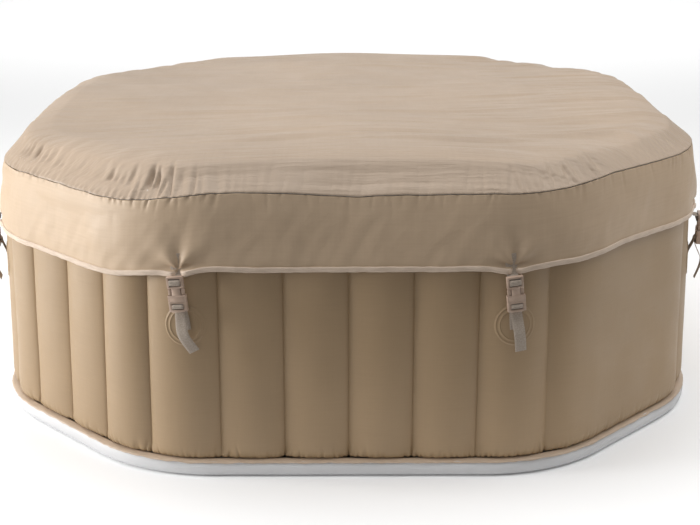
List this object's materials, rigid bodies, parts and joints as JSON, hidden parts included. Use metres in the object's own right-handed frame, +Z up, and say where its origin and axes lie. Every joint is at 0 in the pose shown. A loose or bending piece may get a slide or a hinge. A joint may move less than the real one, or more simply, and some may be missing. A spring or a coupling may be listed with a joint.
{
  "type": "inflatable hot tub",
  "caption": "Octagonal inflatable hot tub with a ribbed air wall and a skirted fabric cover held down by side-release buckles.",
  "frame": {"origin": "on the ground, under the centre of the tub", "axes": "+Z up; the long front facet faces -Y; +X is to the right seen from the front"},
  "size_m": [1.8924, 1.8924, 0.757],
  "materials": {
    "wall_vinyl": "satin, fine grain",
    "liner_vinyl": "satin",
    "base_vinyl": "semi-gloss",
    "cover_fabric": "semi-gloss, coated fabric",
    "binding_tape": "matt woven tape",
    "lining_foil": "quilted foil",
    "buckle_plastic": "semi-gloss",
    "webbing": "ribbed weave",
    "fitting_plastic": "satin",
    "valve_plastic": "satin"
  },
  "bodies": {
    "tub": {"air_port": "fitting_plastic", "air_riser": "liner_vinyl", "base_pan": "base_vinyl", "bottom_seam_flap": "wall_vinyl", "bubble_channel": "liner_vinyl", "drain_pipe": "fitting_plastic", "floor_liner": "liner_vinyl", "inner_wall": "liner_vinyl", "outer_wall": "wall_vinyl", "wall_top": "wall_vinyl", "wall_valve": "valve_plastic", "wall_webs": "liner_vinyl", "water_inlet": "fitting_plastic", "water_inlet_strainer": "fitting_plastic", "water_outlet": "fitting_plastic", "water_outlet_strainer": "fitting_plastic"},
    "cover": {"cover_top_panel": "cover_fabric", "cover_skirt": "cover_fabric", "hem_binding": "binding_tape", "cover_lining": "lining_foil", "lid_bladder": "liner_vinyl", "lid_valve": "valve_plastic", "buckle_female_1": "buckle_plastic", "buckle_female_2": "buckle_plastic", "buckle_female_3": "buckle_plastic", "buckle_female_4": "buckle_plastic", "buckle_female_5": "buckle_plastic", "buckle_female_6": "buckle_plastic", "buckle_female_7": "buckle_plastic", "buckle_female_8": "buckle_plastic", "strap_hanger_1": "webbing", "strap_hanger_2": "webbing", "strap_hanger_3": "webbing", "strap_hanger_4": "webbing", "strap_hanger_5": "webbing", "strap_hanger_6": "webbing", "strap_hanger_7": "webbing", "strap_hanger_8": "webbing"},
    "buckle_male_1": {"buckle_male_1": "buckle_plastic", "strap_tail_1": "webbing"},
    "buckle_male_2": {"buckle_male_2": "buckle_plastic", "strap_tail_2": "webbing"},
    "buckle_male_3": {"buckle_male_3": "buckle_plastic", "strap_tail_3": "webbing"},
    "buckle_male_4": {"buckle_male_4": "buckle_plastic", "strap_tail_4": "webbing"},
    "buckle_male_5": {"buckle_male_5": "buckle_plastic", "strap_tail_5": "webbing"},
    "buckle_male_6": {"buckle_male_6": "buckle_plastic", "strap_tail_6": "webbing"},
    "buckle_male_7": {"buckle_male_7": "buckle_plastic", "strap_tail_7": "webbing"},
    "buckle_male_8": {"buckle_male_8": "buckle_plastic", "strap_tail_8": "webbing"},
    "water_outlet_cap": {"water_outlet_cap": "valve_plastic"},
    "water_inlet_cap": {"water_inlet_cap": "valve_plastic"},
    "drain_cap": {"drain_cap": "valve_plastic"},
    "air_port_cap": {"air_port_cap": "valve_plastic"},
    "wall_valve_cap": {"wall_valve_cap": "valve_plastic"},
    "lid_valve_cap": {"lid_valve_cap": "valve_plastic"}
  },
  "joints": [
    {"name": "cover_lift", "type": "slide", "parent": "tub", "child": "cover", "axis": [0, 0, 1], "range_m": [0, 0.3]},
    {"name": "buckle_1_release", "type": "slide", "parent": "tub", "child": "buckle_male_1", "axis": [0.1034, -0.0155, -0.9945], "range_m": [0, 0.034]},
    {"name": "buckle_2_release", "type": "slide", "parent": "tub", "child": "buckle_male_2", "axis": [0.1037, 0.013, -0.9945], "range_m": [0, 0.034]},
    {"name": "buckle_3_release", "type": "slide", "parent": "tub", "child": "buckle_male_3", "axis": [0.0155, 0.1034, -0.9945], "range_m": [0, 0.034]},
    {"name": "buckle_4_release", "type": "slide", "parent": "tub", "child": "buckle_male_4", "axis": [-0.0129, 0.1037, -0.9945], "range_m": [0, 0.034]},
    {"name": "buckle_5_release", "type": "slide", "parent": "tub", "child": "buckle_male_5", "axis": [-0.1034, 0.0155, -0.9945], "range_m": [0, 0.034]},
    {"name": "buckle_6_release", "type": "slide", "parent": "tub", "child": "buckle_male_6", "axis": [-0.1037, -0.0129, -0.9945], "range_m": [0, 0.034]},
    {"name": "buckle_7_release", "type": "slide", "parent": "tub", "child": "buckle_male_7", "axis": [-0.0155, -0.1034, -0.9945], "range_m": [0, 0.034]},
    {"name": "buckle_8_release", "type": "slide", "parent": "tub", "child": "buckle_male_8", "axis": [0.013, -0.1037, -0.9945], "range_m": [0, 0.034]},
    {"name": "water_outlet_cap_pull", "type": "slide", "parent": "tub", "child": "water_outlet_cap", "axis": [-0.7068, 0.7068, 0.0294], "range_m": [0, 0.05]},
    {"name": "water_inlet_cap_pull", "type": "slide", "parent": "tub", "child": "water_inlet_cap", "axis": [-0.7068, 0.7068, 0.0294], "range_m": [0, 0.05]},
    {"name": "drain_cap_pull", "type": "slide", "parent": "tub", "child": "drain_cap", "axis": [-0.7068, 0.7068, 0.0294], "range_m": [0, 0.05]},
    {"name": "air_port_cap_pull", "type": "slide", "parent": "tub", "child": "air_port_cap", "axis": [-0.7068, 0.7068, 0.0294], "range_m": [0, 0.05]},
    {"name": "wall_valve_cap_hinge", "type": "hinge", "parent": "tub", "child": "wall_valve_cap", "pos_m": [-0.71272, 0.71272, 0.24241], "axis": [0.7071, 0.7071, 0], "range_deg": [0, 150]},
    {"name": "lid_valve_cap_hinge", "type": "hinge", "parent": "cover", "child": "lid_valve_cap", "pos_m": [0, -0.027, 0.666], "axis": [-1, 0, 0], "range_deg": [0, 120]}
  ]
}
